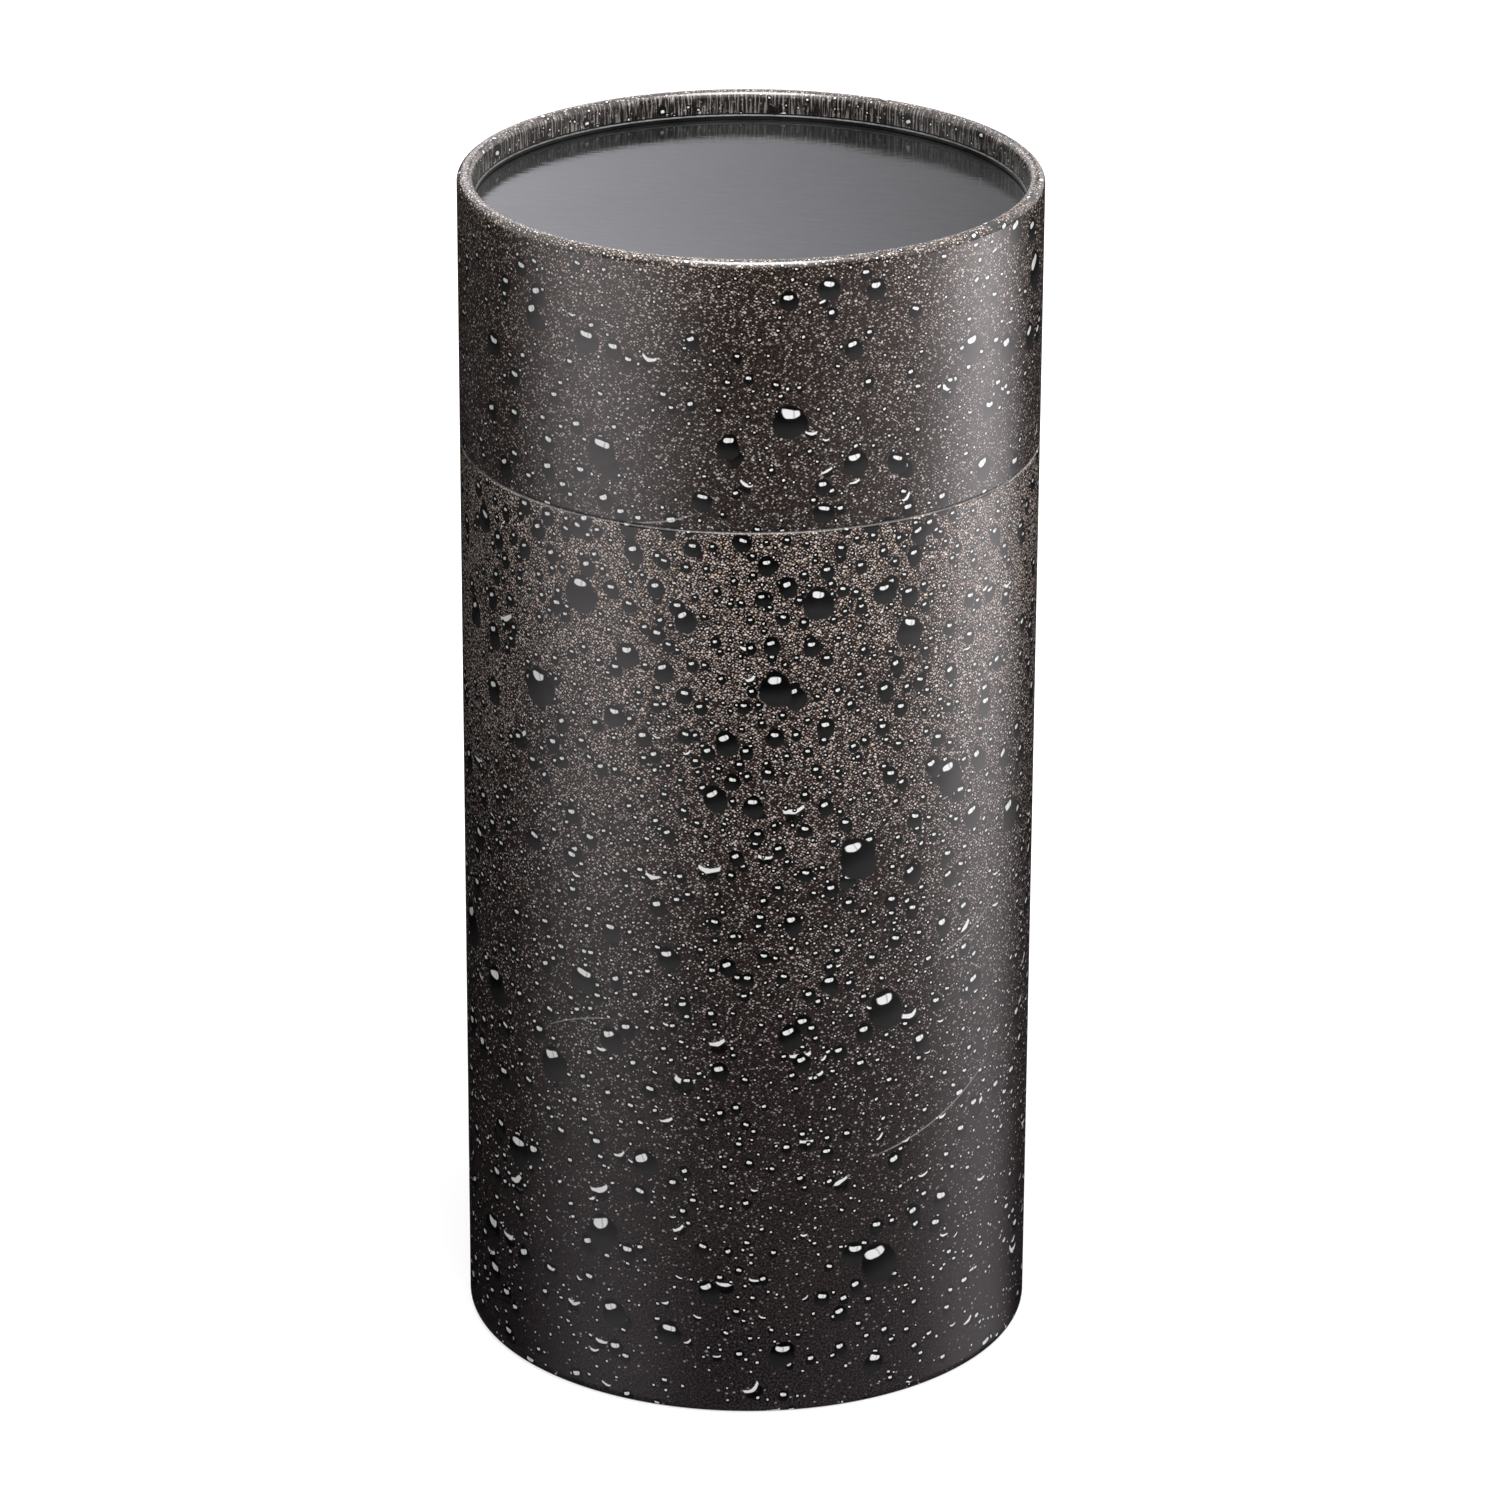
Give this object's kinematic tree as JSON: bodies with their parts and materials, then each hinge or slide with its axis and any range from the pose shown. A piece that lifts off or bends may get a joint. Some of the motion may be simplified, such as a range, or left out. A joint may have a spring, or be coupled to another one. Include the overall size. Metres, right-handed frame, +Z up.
{
  "type": "gift tube box",
  "caption": "Tall round paperboard gift tube with a flush lift-off lid on an inner neck and a glossy lid panel set below a rounded rim, printed all over with water drops.",
  "frame": {"origin": "centre of the foot, on the plane the tube stands on", "axes": "+Z up the tube's axis towards the lid, -Y the front, +Y the back where the printed sheets lap"},
  "size_m": [0.13, 0.1303, 0.274],
  "materials": {
    "tube_board": "matte",
    "disc_board": "matte",
    "printed_paper": "satin",
    "neck_paper": "matte",
    "lining_paper": "matte",
    "facing_paper": "matte",
    "panel_paper": "gloss"
  },
  "bodies": {
    "tube": {"body_tube": "tube_board", "body_wrap": "printed_paper", "neck_tube": "tube_board", "neck_cover": "neck_paper", "tube_liner": "lining_paper", "base_disc": "disc_board", "base_facing": "facing_paper", "floor_lining": "lining_paper"},
    "lid": {"lid_tube": "tube_board", "lid_wrap": "printed_paper", "lid_disc": "disc_board", "lid_panel": "panel_paper", "lid_ceiling": "lining_paper", "lid_liner": "lining_paper"}
  },
  "joints": [
    {"name": "lid_lift", "type": "slide", "parent": "tube", "child": "lid", "axis": [0, 0, 1], "range_m": [0, 0.07]}
  ]
}
